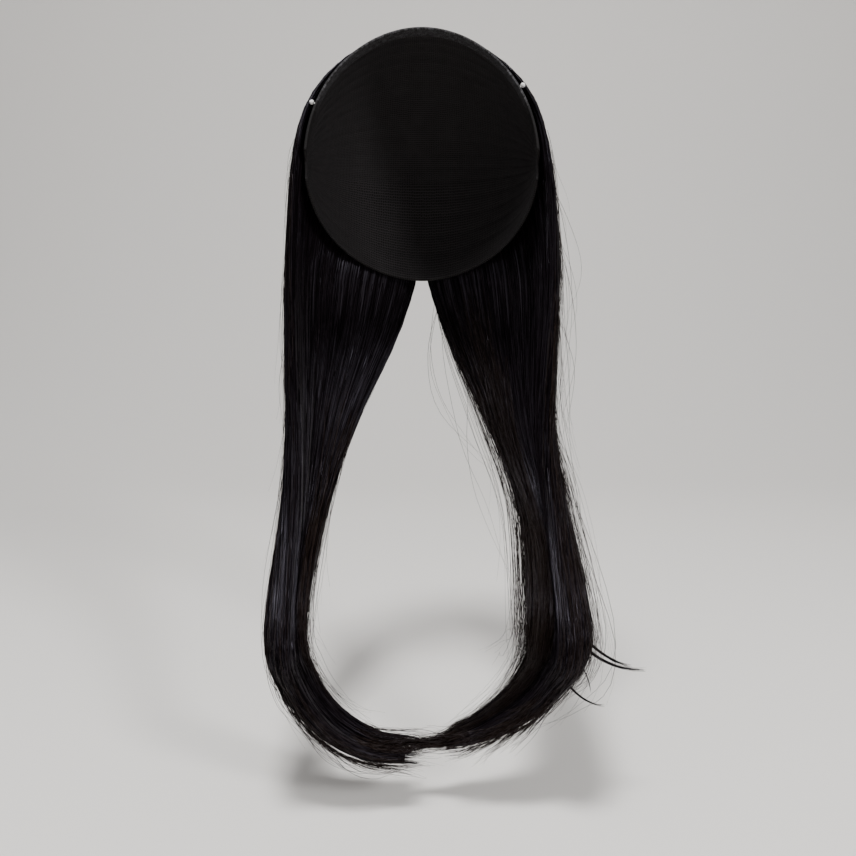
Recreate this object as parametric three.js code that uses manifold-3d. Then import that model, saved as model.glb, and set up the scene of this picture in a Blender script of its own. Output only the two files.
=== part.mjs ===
// A half wig: a stretch cap for the back of the crown, a soft band along its front edge, two pins, and long
// straight hair in locks that part at the nape, come forward on both sides and curl inwards at their ends.
// Millimetres, +Z up. The face side is -Y, and left and right are as someone who faces the wig sees them.
// The origin is the crown: the top of the space that the cap leaves for the head.
import * as THREE from "three";
import { mergeVertices } from "three/addons/utils/BufferGeometryUtils.js";
import Module from "manifold-3d";

const wasm = await Module();
wasm.setup();

// The head that the cap fits.
const HEAD_WIDTH = 155;
const HEAD_LENGTH = 195;
const CROWN_RISE = 92; // from the widest level up to the crown
const NAPE_CURVE = 130; // from the widest level down to where the head's curve would close

// The cap, which narrows to a tab at each ear. Its edges are given by angles round the head from the crown
// backwards.
const CAP_WALL = 1.6;
const FRONT_LEAN = 6; // degrees from the crown back to the front edge
const NAPE_LEAN = 125; // degrees from the crown round to the nape edge
const EAR_STOP = 84; // degrees from the middle to each ear tab
const TEMPLE_TURN = 8; // degrees that the sides are turned towards the face

const BAND_WIDTH = 10;
const BAND_THICK = 2;
const BAND_LIMIT = 0.8; // of the way from the crown to the nape edge, which the band keeps inside at its ends

const GAP = 0.3; // between pieces that touch

// The hair. Its fall is measured from the head's widest level down to the level where the curls begin.
const FALL_LENGTH = 293;
const ROOT_THICK = 2.2; // of the hair at the crown
const LEFT_SIDE_THICK = 10; // of the left half at the head's widest level
const RIGHT_SIDE_THICK = 11.5; // of the right half there
const THICKENING = 1.9; // how late the hair thickens on its way down the head, as a power
const PARTING = 0.8; // between the two halves of the hair, at the back

// The rows of the hair over the head, in degrees down from the crown.
const ROOT_ANGLES = [3, 32, 60, 88];

// The rows of the hair below the head's widest level, each one level of the fall. "drop" is a share of
// FALL_LENGTH. The hair's middle line in a row starts at "front", is pulled towards "middle" and ends at
// "back", nearest the other half. Each of the three is a distance out from the middle of the head, as a
// share of half its width, and a distance towards the face, as a share of half its length. "thick" is a
// share of half the head's width.
const LEFT_FALL = [
  { drop: 0.23, front: [1.14, 0.1], middle: [1.34, -0.66], back: [0.03, -0.97], thick: 0.155 },
  { drop: 0.42, front: [1.15, 0.1], middle: [1.36, -0.6], back: [0.26, -0.92], thick: 0.17 },
  { drop: 0.62, front: [1.13, 0.18], middle: [1.32, -0.3], back: [0.63, -0.55], thick: 0.185 },
  { drop: 0.81, front: [1.1, 0.5], middle: [1.31, 0.12], back: [0.88, -0.12], thick: 0.22 },
  { drop: 1.0, front: [1.04, 1.15], middle: [1.28, 0.95], back: [0.96, 0.75], thick: 0.23 },
];
const RIGHT_FALL = [
  { drop: 0.23, front: [1.16, 0.1], middle: [1.35, -0.66], back: [0.03, -0.97], thick: 0.165 },
  { drop: 0.42, front: [1.13, 0.1], middle: [1.35, -0.6], back: [0.26, -0.92], thick: 0.17 },
  { drop: 0.62, front: [1.09, 0.18], middle: [1.28, -0.3], back: [0.63, -0.55], thick: 0.18 },
  { drop: 0.81, front: [1.1, 0.5], middle: [1.41, 0.12], back: [0.92, -0.12], thick: 0.21 },
  { drop: 1.0, front: [1.08, 1.15], middle: [1.44, 0.95], back: [0.9, 0.72], thick: 0.3 },
];

// The curl at the end of each half turns about an axis that runs front to back. "axis" is that axis's
// distance out, as a share of half the head's width, "depth" the curl's depth below it, as a share of its
// reach sideways, "turn" the degrees that it turns through, and "narrow" how wide and thick it still is at
// its end.
const LEFT_CURL = { axis: 0.14, depth: 1.12, turn: 95, narrow: 0.6 };
const RIGHT_CURL = { axis: 0.0, depth: 0.84, turn: 96, narrow: 0.2 };
const NARROWING = 0.85; // how late a curl narrows, as a power

// The locks of one half, from the face side to the back: how far along the hair each one ends, and how far
// it stands proud of the others, as a share of its thickness.
const LOCKS = [
  { reach: 0.9, proud: 0.05 },
  { reach: 0.98, proud: -0.06 },
  { reach: 0.93, proud: 0.1 },
  { reach: 1.0, proud: -0.04 },
  { reach: 0.95, proud: 0.08 },
  { reach: 0.99, proud: -0.08 },
  { reach: 0.94, proud: 0 },
];
const LOCK_OVERLAP = 1.45; // a lock's width to the spacing of the locks
const LOCK_FLATNESS = 1.25; // a lock's greatest thickness to its width
const TIP = { width: 0.35, run: 0.2 }; // a lock's width at its tip, and the share that narrows to it
const ROOT = { width: 0.5, run: 0.125 }; // the same at its root

// Slender locks that leave the right half and flick outwards: the share along the hair where each one
// leaves it, its reach out and down from there in half widths of the head, and its thickness where it
// leaves.
const FLICKS = [
  { along: 0.665, out: 0.58, down: 0.36, thick: 3 },
  { along: 0.75, out: 0.4, down: 0.28, thick: 2.6 },
];
const FLICK_BEND = { out: 0.3, down: 0.85 }; // how much of its way a flick has come where it bends

// The backing that the locks are fused to: the share of the hair's thickness that it takes, the shares of
// the hair's length where it starts and ends, and the share of the half's breadth that it leaves free at
// each side.
const BACKING = { thick: 0.65, start: 0.015, end: 0.845, margin: 0.02 };

// The pins. Each one's height over the head's widest level is a share of CROWN_RISE.
const LEFT_PIN_HEIGHT = 0.45;
const RIGHT_PIN_HEIGHT = 0.57;
const PIN_HEAD = 3.4;
const PIN_SHAFT = 1;
const PIN_SUNK = 0.4; // how far over the head's surface the shaft starts
const PIN_STAND = 2.6; // from the band's outer face to the middle of the pin's head

// How finely the shapes are divided.
const CAP_COLUMNS = 20;
const CAP_ROWS = 10;
const FORM_COLUMNS = 28;
const FORM_ROWS = 20;
const BACKING_COLUMNS = 7;
const BACKING_ROWS = 10;
const LOCK_SIDES = 5;
const LOCK_SECTIONS = 16;
const CURL_ROWS = 4;
const FLICK_SECTIONS = 6;
const PIN_SIDES = 8;
const SLOPE_STEP = 0.004; // between the points that a direction on the hair is taken from

const HAIR_MATERIAL = { color: 0x0e0a09, roughness: 0.35, metalness: 0 };
const CAP_MATERIAL = { color: 0x141212, roughness: 0.85, metalness: 0 };
const BAND_MATERIAL = { color: 0x0c0a0a, roughness: 0.7, metalness: 0 };
const PIN_MATERIAL = { color: 0xd9d6cf, roughness: 0.15, metalness: 0.1 };

const DEGREE = Math.PI / 180;
const halfWidth = HEAD_WIDTH / 2;
const halfLength = HEAD_LENGTH / 2;
const seat = CAP_WALL + GAP; // the level over the head where the hair begins

// Solids

function solidOf(vertices, triangles) {
  const geometry = new THREE.BufferGeometry();
  const numbers = vertices.flatMap((vertex) => vertex.toArray());
  geometry.setAttribute("position", new THREE.Float32BufferAttribute(numbers, 3));
  geometry.setIndex(triangles.flat());
  return solidOfGeometry(geometry);
}

function solidOfGeometry(geometry) {
  const bare = geometry.clone();
  bare.deleteAttribute("normal");
  bare.deleteAttribute("uv");
  const merged = mergeVertices(bare, 1e-4);
  return new wasm.Manifold(
    new wasm.Mesh({
      numProp: 3,
      vertProperties: merged.attributes.position.array,
      triVerts: new Uint32Array(merged.index.array),
    }),
  );
}

function meshOf(name, solid, material) {
  const { numProp, numVert, vertProperties, triVerts } = solid.getMesh();
  const positions = new Float32Array(numVert * 3);
  for (let i = 0; i < numVert; i++) {
    positions.set(vertProperties.subarray(i * numProp, i * numProp + 3), i * 3);
  }
  const geometry = new THREE.BufferGeometry();
  geometry.setAttribute("position", new THREE.BufferAttribute(positions, 3));
  geometry.setIndex(new THREE.BufferAttribute(new Uint32Array(triVerts), 1));
  geometry.computeVertexNormals();
  const mesh = new THREE.Mesh(geometry, new THREE.MeshStandardMaterial(material));
  mesh.name = name;
  return mesh;
}

// A wall between two sheets of points. sheetPoint(across, along, layer) gives a point with across and along
// from 0 to 1, on the inner sheet for layer 0 and the outer one for layer 1.
function wallSolid(sheetPoint, columns, rows) {
  const vertices = [];
  const triangles = [];
  const index = (c, r, layer) => (layer * (rows + 1) + r) * (columns + 1) + c;
  for (const layer of [0, 1]) {
    for (let r = 0; r <= rows; r++) {
      for (let c = 0; c <= columns; c++) {
        vertices.push(sheetPoint(c / columns, r / rows, layer));
      }
    }
  }
  const quad = (a, b, c, d) => triangles.push([a, b, c], [a, c, d]);
  for (let r = 0; r < rows; r++) {
    for (let c = 0; c < columns; c++) {
      quad(index(c, r, 1), index(c + 1, r, 1), index(c + 1, r + 1, 1), index(c, r + 1, 1));
      quad(index(c, r, 0), index(c, r + 1, 0), index(c + 1, r + 1, 0), index(c + 1, r, 0));
    }
    quad(index(0, r, 0), index(0, r, 1), index(0, r + 1, 1), index(0, r + 1, 0));
    quad(index(columns, r, 1), index(columns, r, 0), index(columns, r + 1, 0), index(columns, r + 1, 1));
  }
  for (let c = 0; c < columns; c++) {
    quad(index(c, 0, 0), index(c + 1, 0, 0), index(c + 1, 0, 1), index(c, 0, 1));
    quad(index(c, rows, 1), index(c + 1, rows, 1), index(c + 1, rows, 0), index(c, rows, 0));
  }
  return outward(solidOf(vertices, triangles), vertices, triangles);
}

// A lofted solid through rings of as many points each, closed with a fan at each end.
function loftSolid(rings) {
  const sides = rings[0].length;
  const vertices = rings.flat();
  const triangles = [];
  for (let r = 0; r + 1 < rings.length; r++) {
    for (let s = 0; s < sides; s++) {
      const next = (s + 1) % sides;
      const [a, b] = [r * sides + s, r * sides + next];
      triangles.push([a, b, b + sides], [a, b + sides, a + sides]);
    }
  }
  const last = (rings.length - 1) * sides;
  for (let s = 1; s + 1 < sides; s++) {
    triangles.push([0, s + 1, s], [last, last + s, last + s + 1]);
  }
  return outward(solidOf(vertices, triangles), vertices, triangles);
}

// The same solid with its faces pointing out, whichever way its sheets or rings ran.
function outward(solid, vertices, triangles) {
  if (solid.volume() > 0) return solid;
  return solidOf(vertices, triangles.map(([a, b, c]) => [a, c, b]));
}

// A solid without the pockets closed inside it, or crumbs cut off it.
function outerShell(solid) {
  return solid.decompose().reduce((largest, shell) => (shell.volume() > largest.volume() ? shell : largest));
}

// The head's form

// The point of the head's surface in a direction, at a level above the surface.
function headPoint(direction, level) {
  const rise = direction.z >= 0 ? CROWN_RISE : NAPE_CURVE;
  return new THREE.Vector3(
    direction.x * (halfWidth + level),
    direction.y * (halfLength + level),
    direction.z * (rise + level) - CROWN_RISE,
  );
}

// The sides of a direction's half turned towards the face, more the further out they are.
function turnedToTemple(direction) {
  const turn = -TEMPLE_TURN * DEGREE * direction.x * Math.abs(direction.x);
  return direction.applyAxisAngle(new THREE.Vector3(0, 0, 1), turn);
}

// A direction by its angle across the head, from the middle towards the right ear, and its angle round from
// the crown over the back.
function earDirection(across, round) {
  const y = Math.cos(across * DEGREE) * Math.sin(round * DEGREE);
  const z = Math.cos(across * DEGREE) * Math.cos(round * DEGREE);
  return turnedToTemple(new THREE.Vector3(Math.sin(across * DEGREE), y, z));
}

// A direction by its turn from the back towards an ear, and its angle down from where the locks meet, just
// behind the band.
function lockDirection(turn, down) {
  const pole = (FRONT_LEAN + bandAngle(0, BAND_WIDTH)) * DEGREE;
  const y = Math.sin(down * DEGREE) * Math.cos(turn * DEGREE);
  const z = Math.cos(down * DEGREE);
  const direction = new THREE.Vector3(
    Math.sin(down * DEGREE) * Math.sin(turn * DEGREE),
    y * Math.cos(pole) + z * Math.sin(pole),
    z * Math.cos(pole) - y * Math.sin(pole),
  );
  return turnedToTemple(direction);
}

// How far round the head a width of the band reaches, at an angle across.
function bandAngle(across, width) {
  const radius = ((halfLength + CROWN_RISE) / 2) * Math.cos(across * DEGREE);
  return width / radius / DEGREE;
}

// The angles round the head of the band's back edge and the cap's front edge, at an angle across.
function seam(across) {
  const band = Math.min(FRONT_LEAN + bandAngle(across, BAND_WIDTH), BAND_LIMIT * NAPE_LEAN);
  return { band, cap: band + bandAngle(across, GAP) };
}

// The room inside the wig: the head's form, with flat facets that stay outside its curve.
function makeHeadForm() {
  const sphere = new THREE.SphereGeometry(1, FORM_COLUMNS, FORM_ROWS);
  const facetSag = halfLength * (2 - Math.cos(Math.PI / FORM_COLUMNS) - Math.cos(Math.PI / 2 / FORM_ROWS));
  const position = sphere.attributes.position;
  for (let i = 0; i < position.count; i++) {
    const direction = new THREE.Vector3().fromBufferAttribute(position, i).normalize();
    position.setXYZ(i, ...headPoint(direction, facetSag).toArray());
  }
  return solidOfGeometry(sphere);
}

// Cap and band

// The cap, or with room, the space that it needs in the hair above it.
function makeCap(room) {
  const sheet = (u, v, layer) => {
    const across = EAR_STOP * (2 * u - 1);
    const start = seam(across).cap;
    return headPoint(earDirection(across, start + (NAPE_LEAN - start) * v), (CAP_WALL + room) * layer);
  };
  return wallSolid(sheet, CAP_COLUMNS, CAP_ROWS);
}

// The band, or with room, the space that it needs in the hair above and behind it.
function makeBand(room) {
  const sheet = (u, v, layer) => {
    const across = EAR_STOP * (2 * u - 1);
    const end = seam(across).band + bandAngle(across, 2 * room);
    return headPoint(earDirection(across, FRONT_LEAN + (end - FRONT_LEAN) * v), (BAND_THICK + room) * layer);
  };
  return wallSolid(sheet, CAP_COLUMNS, 1);
}

// Hair

// A smooth curve through evenly spaced values, at a place counted in spaces.
function spline(values, at) {
  const i = Math.min(Math.floor(at), values.length - 2);
  const t = at - i;
  const [a, b] = [values[i], values[i + 1]];
  const before = values[i - 1] ?? 2 * a - b;
  const after = values[i + 2] ?? 2 * b - a;
  const [slopeA, slopeB] = [(b - before) / 2, (after - a) / 2];
  return a + t * (slopeA + t * (3 * (b - a) - 2 * slopeA - slopeB + t * (2 * (a - b) + slopeA + slopeB)));
}

// The rows of the hair give its thickness and its middle line, a point for every place from 0, the face
// side, to 1, the parting at the back.
function rootRow(side, sideThick, down) {
  const thick = ROOT_THICK + (sideThick - ROOT_THICK) * Math.sin(down * DEGREE) ** THICKENING;
  const point = (place) => headPoint(lockDirection(side * 90 * (1 - place), down), seat + thick / 2);
  return { thick, point };
}

// A place on a row's bent middle line, as its shares out and towards the face.
function bend(row, place) {
  const part = (key) => row.front[key] * (1 - place) ** 2 + row.middle[key] * 2 * place * (1 - place);
  return { out: part(0) + row.back[0] * place ** 2, fore: part(1) + row.back[1] * place ** 2 };
}

function fallLevel(row) {
  return -CROWN_RISE - row.drop * FALL_LENGTH;
}

function fallRow(side, row) {
  const point = (place) => {
    const { out, fore } = bend(row, place);
    return new THREE.Vector3(side * out * halfWidth, -fore * halfLength, fallLevel(row));
  };
  return { thick: row.thick * halfWidth, point };
}

// A row of the curl, which carries the last row of the fall round the curl's axis and draws it together.
function curlRow(side, last, curl, share) {
  const angle = curl.turn * share * DEGREE;
  const kept = 1 - (1 - curl.narrow) * share ** NARROWING;
  const middle = bend(last, 0.5);
  const middleOut = (middle.out + (last.front[0] + last.back[0]) / 2) / 2;
  const point = (place) => {
    const { out, fore } = bend(last, place);
    const reach = (middleOut + (out - middleOut) * kept - curl.axis) * halfWidth;
    return new THREE.Vector3(
      side * (curl.axis * halfWidth + reach * Math.cos(angle)),
      -(middle.fore + (fore - middle.fore) * kept) * halfLength,
      fallLevel(last) - reach * curl.depth * Math.sin(angle),
    );
  };
  return { thick: last.thick * halfWidth * kept, point };
}

// One half of the hair as a bent sheet: its middle line, its thickness and its directions at a share along
// it.
function hairSheet(side, sideThick, fall, curl) {
  const rows = ROOT_ANGLES.map((down) => rootRow(side, sideThick, down));
  rows.push(...fall.map((row) => fallRow(side, row)));
  for (let step = 1; step <= CURL_ROWS; step++) {
    rows.push(curlRow(side, fall[fall.length - 1], curl, step / CURL_ROWS));
  }
  const spaces = rows.length - 1;
  const thickAt = (along) => spline(rows.map((row) => row.thick), along * spaces);
  const pointAt = (place, along) => {
    const points = rows.map((row) => row.point(place));
    const at = (axis) => spline(points.map((point) => point[axis]), along * spaces);
    return new THREE.Vector3(at("x"), at("y"), at("z"));
  };
  const frameAt = (place, along) => {
    const across = pointAt(place + SLOPE_STEP, along).sub(pointAt(place - SLOPE_STEP, along));
    const behind = pointAt(place, Math.max(along - SLOPE_STEP, 0));
    const ahead = pointAt(place, Math.min(along + SLOPE_STEP, 1)).sub(behind);
    const out = ahead.clone().cross(across).normalize().multiplyScalar(side);
    return { across: out.clone().cross(ahead).normalize(), out, spread: across.length() / (2 * SLOPE_STEP) };
  };
  return { pointAt, thickAt, frameAt };
}

function makeLock(sheet, number) {
  const { reach, proud } = LOCKS[number];
  const place = (number + 0.5) / LOCKS.length;
  const rings = [];
  for (let section = 0; section <= LOCK_SECTIONS; section++) {
    const share = section / LOCK_SECTIONS;
    const along = share * reach;
    const { across, out, spread } = sheet.frameAt(place, along);
    const nearTip = Math.min(1, TIP.width + (1 - share) / TIP.run);
    const nearRoot = Math.min(1, ROOT.width + along / ROOT.run);
    const width = (spread / LOCKS.length) * LOCK_OVERLAP * nearTip * nearRoot;
    const thick = sheet.thickAt(along) * nearTip * nearRoot;
    const breadth = Math.max(width, thick / LOCK_FLATNESS);
    const centre = sheet.pointAt(place, along).addScaledVector(out, proud * sheet.thickAt(along));
    const ring = [];
    for (let corner = 0; corner < LOCK_SIDES; corner++) {
      const angle = (2 * Math.PI * corner) / LOCK_SIDES + Math.PI / 2;
      const point = centre.clone().addScaledVector(across, (Math.cos(angle) * breadth) / 2);
      ring.push(point.addScaledVector(out, (Math.sin(angle) * thick) / 2));
    }
    rings.push(ring);
  }
  return loftSolid(rings);
}

function makeFlick(sheet, { along, out, down, thick }) {
  const start = sheet.pointAt(0.5, along);
  const away = (outward, downward) =>
    start.clone().add(new THREE.Vector3(outward * out * halfWidth, 0, -downward * down * halfWidth));
  const curve = new THREE.QuadraticBezierCurve3(start, away(FLICK_BEND.out, FLICK_BEND.down), away(1, 1));
  const toFace = new THREE.Vector3(0, -1, 0);
  const rings = [];
  for (let section = 0; section <= FLICK_SECTIONS; section++) {
    const share = section / FLICK_SECTIONS;
    const radius = (thick / 2) * (1 + (TIP.width - 1) * share);
    const over = curve.getTangent(share).cross(toFace).normalize();
    const ring = [];
    for (let corner = 0; corner < LOCK_SIDES; corner++) {
      const angle = (2 * Math.PI * corner) / LOCK_SIDES;
      const point = curve.getPoint(share).addScaledVector(toFace, Math.cos(angle) * radius);
      ring.push(point.addScaledVector(over, Math.sin(angle) * radius));
    }
    rings.push(ring);
  }
  return loftSolid(rings);
}

function makeBacking(sheet) {
  const wall = (u, v, layer) => {
    const place = BACKING.margin + (1 - 2 * BACKING.margin) * u;
    const along = BACKING.start + (BACKING.end - BACKING.start) * v;
    const level = (layer * BACKING.thick - 0.5) * sheet.thickAt(along);
    return sheet.pointAt(place, along).addScaledVector(sheet.frameAt(place, along).out, level);
  };
  return wallSolid(wall, BACKING_COLUMNS, BACKING_ROWS);
}

// The space behind the ears that belongs to the other half of the hair, up to the parting.
function makeOtherSide(side) {
  const reach = HEAD_LENGTH + FALL_LENGTH;
  const box = new THREE.BoxGeometry(reach, reach, reach * 2);
  box.translate(side * (PARTING / 2 - reach / 2), reach / 2, -reach / 2);
  return solidOfGeometry(box);
}

function makeHair(side, sideThick, fall, curl, flicks) {
  const sheet = hairSheet(side, sideThick, fall, curl);
  let hair = makeBacking(sheet);
  for (let number = 0; number < LOCKS.length; number++) {
    hair = hair.add(makeLock(sheet, number));
  }
  for (const flick of flicks) {
    hair = hair.add(makeFlick(sheet, flick));
  }
  const room = makeHeadForm().add(makeCap(GAP)).add(makeBand(GAP));
  return outerShell(hair.subtract(room).subtract(makeOtherSide(side)).subtract(pinRoom));
}

// Pins

// Where a pin stands on the band: a point of the head's surface, and the direction that the pin points out
// in.
function pinPlace(side, height) {
  const across = (side * Math.acos(height)) / DEGREE;
  const direction = earDirection(across, (FRONT_LEAN + seam(across).band) / 2);
  const foot = headPoint(direction, 0);
  return { foot, out: headPoint(direction, 1).sub(foot).normalize() };
}

// A round-headed pin. With room, the space that it needs in the pieces around it.
function makePin({ foot, out }, room) {
  const length = BAND_THICK + PIN_STAND - PIN_SUNK;
  const radius = PIN_SHAFT / 2 + room;
  const shaft = new THREE.CylinderGeometry(radius, radius, length + room, PIN_SIDES);
  shaft.translate(0, PIN_SUNK + (length - room) / 2, 0);
  const ball = new THREE.SphereGeometry(PIN_HEAD / 2 + room, PIN_SIDES + 2, PIN_SIDES);
  ball.translate(0, BAND_THICK + PIN_STAND, 0);
  const standing = new THREE.Matrix4().makeRotationFromQuaternion(
    new THREE.Quaternion().setFromUnitVectors(new THREE.Vector3(0, 1, 0), out),
  );
  standing.setPosition(foot);
  return solidOfGeometry(shaft.applyMatrix4(standing)).add(solidOfGeometry(ball.applyMatrix4(standing)));
}

const leftPin = pinPlace(-1, LEFT_PIN_HEIGHT);
const rightPin = pinPlace(1, RIGHT_PIN_HEIGHT);
const pinRoom = makePin(leftPin, GAP).add(makePin(rightPin, GAP));

const wig = new THREE.Group();
wig.add(meshOf("cap", makeCap(0), CAP_MATERIAL));
wig.add(meshOf("edge_band", makeBand(0).subtract(pinRoom), BAND_MATERIAL));
wig.add(meshOf("left_hair", makeHair(-1, LEFT_SIDE_THICK, LEFT_FALL, LEFT_CURL, []), HAIR_MATERIAL));
wig.add(meshOf("right_hair", makeHair(1, RIGHT_SIDE_THICK, RIGHT_FALL, RIGHT_CURL, FLICKS), HAIR_MATERIAL));
wig.add(meshOf("left_pin", makePin(leftPin, 0), PIN_MATERIAL));
wig.add(meshOf("right_pin", makePin(rightPin, 0), PIN_MATERIAL));

export default wig;
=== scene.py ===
import math

import bpy
import numpy as np
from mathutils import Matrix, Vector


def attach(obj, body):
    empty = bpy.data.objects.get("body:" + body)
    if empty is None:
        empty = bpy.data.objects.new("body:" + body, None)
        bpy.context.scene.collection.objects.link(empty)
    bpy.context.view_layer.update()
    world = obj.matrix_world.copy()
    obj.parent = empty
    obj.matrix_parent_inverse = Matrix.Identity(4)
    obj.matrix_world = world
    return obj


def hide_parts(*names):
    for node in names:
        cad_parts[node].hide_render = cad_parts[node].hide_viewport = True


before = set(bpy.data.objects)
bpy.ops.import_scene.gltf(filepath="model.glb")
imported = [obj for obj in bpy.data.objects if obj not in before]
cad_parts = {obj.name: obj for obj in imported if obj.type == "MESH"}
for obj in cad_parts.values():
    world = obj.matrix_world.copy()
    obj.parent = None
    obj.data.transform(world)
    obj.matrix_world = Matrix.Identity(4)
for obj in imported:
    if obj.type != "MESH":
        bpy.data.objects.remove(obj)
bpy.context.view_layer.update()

MM = 0.001
DEGREE = math.pi / 180
SEED = 7

# The head that the cap fits.
HALF_WIDTH = 77.5 * MM
HALF_LENGTH = 97.5 * MM
CROWN_RISE = 92 * MM  # from the widest level up to the crown
NAPE_CURVE = 130 * MM  # from the widest level down to where the head's curve would close

# The cap and the band. Leans, the stop and the turn are angles in degrees.
CAP_WALL = 1.6 * MM
FRONT_LEAN = 6  # from the crown back to the front edge
NAPE_LEAN = 125  # from the crown round to the nape edge
EAR_STOP = 84  # from the middle to each ear tab
TEMPLE_TURN = 8  # how far the sides are turned towards the face
BAND_WIDTH = 10 * MM
BAND_THICK = 2 * MM
BAND_LIMIT = 0.8  # of the way from the crown to the nape edge, which the band's ends keep inside
GAP = 0.3 * MM

# The cap's mesh, and the low ribs on its inner side, which start and repeat by degrees round the head.
CAP_COLUMNS = 97
CAP_ROWS = 109
RIB_START = 4
RIB_SPACING = 6.5
RIB_HEIGHT = 0.45 * MM

# The band's mesh, how much of its thickness it loses at its rims, and the painted shade that dims its grey
# flecks to their least over a run of degrees up to its stop towards each ear, where less light falls.
BAND_COLUMNS = 181
BAND_ROWS = 15
BAND_CROWN = 0.45
BAND_SQUARENESS = 4
KNIT_SHADE_FADE = {"stop": 72, "run": 12, "least": 0.2}

# The hair's form, in rows from the crown to the tips.
FALL_LENGTH = 293 * MM  # from the head's widest level down to where the curls begin
ROOT_THICK = 2.2 * MM
THICKENING = 1.9  # how late the hair thickens on its way down the head, as a power
PARTING = 0.8 * MM  # between its two halves, at the back
SEAT = CAP_WALL + GAP
ROOT_ANGLES = (3, 32, 60, 88)  # of the rows over the head, in degrees down from where the hair starts

# A row of the fall has its drop as a share of FALL_LENGTH. Its middle line starts at "front", is pulled
# towards "middle" and ends at "back", each a distance out in half widths and towards the face in half
# lengths of the head. "thick" is in half widths.
LEFT_SIDE_THICK = 10 * MM
LEFT_FALL = (
    {"drop": 0.23, "front": (1.14, 0.1), "middle": (1.34, -0.66), "back": (0.03, -0.97), "thick": 0.155},
    {"drop": 0.42, "front": (1.15, 0.1), "middle": (1.36, -0.6), "back": (0.26, -0.92), "thick": 0.17},
    {"drop": 0.62, "front": (1.13, 0.18), "middle": (1.32, -0.3), "back": (0.63, -0.55), "thick": 0.185},
    {"drop": 0.81, "front": (1.1, 0.5), "middle": (1.31, 0.12), "back": (0.88, -0.12), "thick": 0.22},
    {"drop": 1.0, "front": (1.04, 1.15), "middle": (1.28, 0.95), "back": (0.96, 0.75), "thick": 0.23},
)
RIGHT_SIDE_THICK = 11.5 * MM
RIGHT_FALL = (
    {"drop": 0.23, "front": (1.16, 0.1), "middle": (1.35, -0.66), "back": (0.03, -0.97), "thick": 0.165},
    {"drop": 0.42, "front": (1.13, 0.1), "middle": (1.35, -0.6), "back": (0.26, -0.92), "thick": 0.17},
    {"drop": 0.62, "front": (1.09, 0.18), "middle": (1.28, -0.3), "back": (0.63, -0.55), "thick": 0.18},
    {"drop": 0.81, "front": (1.1, 0.5), "middle": (1.41, 0.12), "back": (0.92, -0.12), "thick": 0.21},
    {"drop": 1.0, "front": (1.08, 1.15), "middle": (1.44, 0.95), "back": (0.9, 0.72), "thick": 0.3},
)

# A curl turns by some degrees about an axis that lies some half widths out, "depth" times as deep as it is
# broad, and keeps "narrow" of its breadth at the tips. NARROWING is how early it narrows, as a power.
LEFT_CURL = {"axis": 0.14, "depth": 1.12, "turn": 95, "narrow": 0.6}
RIGHT_CURL = {"axis": 0.0, "depth": 0.84, "turn": 96, "narrow": 0.2}
NARROWING = 0.85
CURL_ROWS = 4
SLOPE_STEP = 0.004  # along and across the sheet, for its slopes

# The hair's body under its loose strands. Its section is a rounded bar, and a share round the section runs
# from 0, the face side, over the outer side to 0.5, the parting, and back over the inner side. TUFTS make
# its lower edge ragged, the coarse and the fine ones each for their part.
SECTION_POWER = 6
SECTION_FLATNESS = 3  # its breadth to its thickness, for spreading points round it
SECTION_POINTS = 1441
BODY_COLUMNS = 680
BODY_ROWS = 60
BODY_REACH = 0.988
BODY_RAGGED = 0.02  # how much less far its shortest tips reach
BODY_EDGE = 0.0015  # the share at which its outer and its inner side meet
TUFTS = (
    {"count": 12, "part": 0.6},
    {"count": 150, "part": 0.4},
)
HAIR_ROUND = 0.26  # metres round the hair's section, for its texture
HAIR_LONG = 0.52  # metres along the hair, for its texture

# The tips: the share of the hair's length that thins towards them, the share of its thickness that they
# keep, and how far they sag from where the droop starts.
TIP_RUN = 0.08
DROOP_START = 0.86
LEFT_TIPS = {"thick": 0.96, "droop": 0}
RIGHT_TIPS = {"thick": 0.45, "droop": 5 * MM}

# The ridges that run along the body, from wide locks to fine lines: how many lie round it, how high they
# rise and how far they drift sideways, in two waves along the hair. They grow from the roots over
# RELIEF_RUN, a share of the hair's length.
RIDGES = (
    {"count": 24, "height": 1.0 * MM, "drift": 0.014},
    {"count": 74, "height": 0.5 * MM, "drift": 0.008},
    {"count": 190, "height": 0.3 * MM, "drift": 0.004},
    {"count": 400, "height": 0.18 * MM, "drift": 0.002},
)
DRIFT_WAVES = (5, 2.3)
RELIEF_RUN = 0.2
ROOT_RELIEF = 0.15  # the share of their height that they start with
BODY_SINK = 1.1 * MM  # how far the body lies inside the hair's form, which its ridges and strands fill
GROOVE_DEPTH = 2.3 * MM  # the deepest that its grooves lie in that form

# Where in the curl the locks part, how much deeper, and how far the body sinks under them.
CURL_GAIN = {"start": 0.66, "full": 0.8, "locks": 0.7, "sink": 1.1 * MM}

# The strands that lie on the body, in clumps. STRAND_STOPS spreads their points, which are closest over
# the head and in the curl. At its root and its tip a strand starts thin and swells over a run.
STRAND_POINTS = 30
STRAND_STOPS = ((0, 0.3, 0.48, 1), (0, 0.27, 0.6, 1))
STRAND_COUNT = 1079
STRAND_RADIUS = 0.28 * MM
STRAND_SIZES = (0.55, 1.2)
STRAND_ROOT = {"thin": 0.35, "run": 0.12}
STRAND_TIP = {"thin": 0.18, "run": 0.2}
STRAND_WAVE = {"size": 0.003, "pace": 6}  # round the section, as a strand runs along the hair
STRAND_GATHER = 4  # how late a clump draws together, as a power
STRAND_DEPTH = (-0.35, 0.25)  # millimetres that a strand lies under the body's surface
STRAND_LIFT = 0.7 * MM  # the most that a strand rises off it in the middle
CLUMP_SIZE = 13
CLUMP_PLACE = (0.1, 0.9)  # where a clump lies in its stretch round the section
CLUMP_SPREAD = 0.8  # the spread of its strands, in such stretches
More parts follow.
